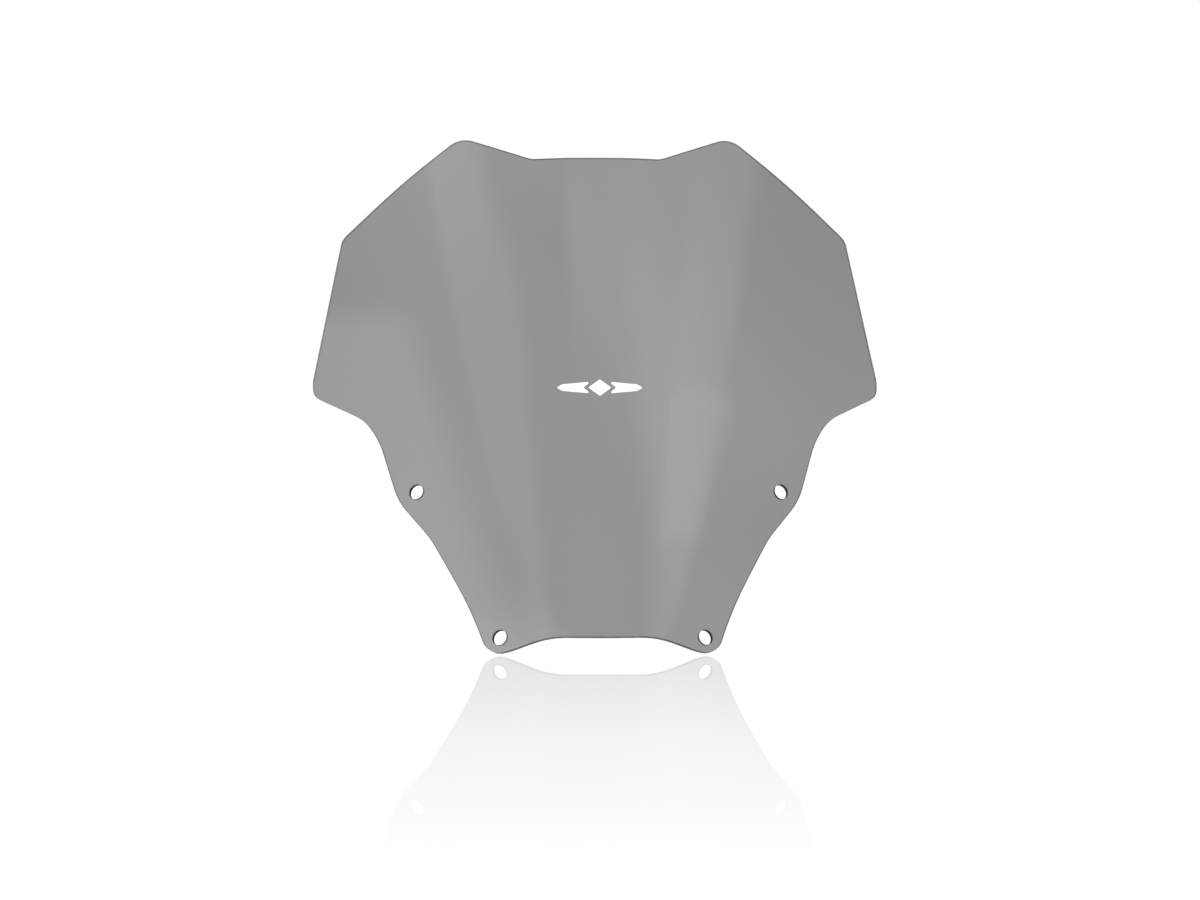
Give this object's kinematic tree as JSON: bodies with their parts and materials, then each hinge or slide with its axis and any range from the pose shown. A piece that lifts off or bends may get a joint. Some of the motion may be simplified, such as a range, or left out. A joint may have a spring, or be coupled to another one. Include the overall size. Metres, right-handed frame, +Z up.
{
  "type": "motorcycle windshield screen",
  "caption": "Smoked see-through motorcycle screen: one bent acrylic panel with flat swept wings, a rounded middle, holes for fixing it to the fairing, and a small plain emblem.",
  "frame": {"origin": "midway between the centres of the two lower fixing holes on the outer face", "axes": "-Y points ahead of the motorcycle and +Y at the rider, +Z points up with the panel at the rake it is fitted at, X runs across the panel"},
  "size_m": [0.4546, 0.2189, 0.4061],
  "materials": {
    "smoked_acrylic": "polished, see-through, neutral grey tint",
    "emblem_film": "white cut vinyl film"
  },
  "bodies": {
    "root": {"screen_panel": "smoked_acrylic", "emblem_lozenge": "emblem_film", "emblem_bar_right": "emblem_film", "emblem_bar_left": "emblem_film"}
  },
  "joints": []
}
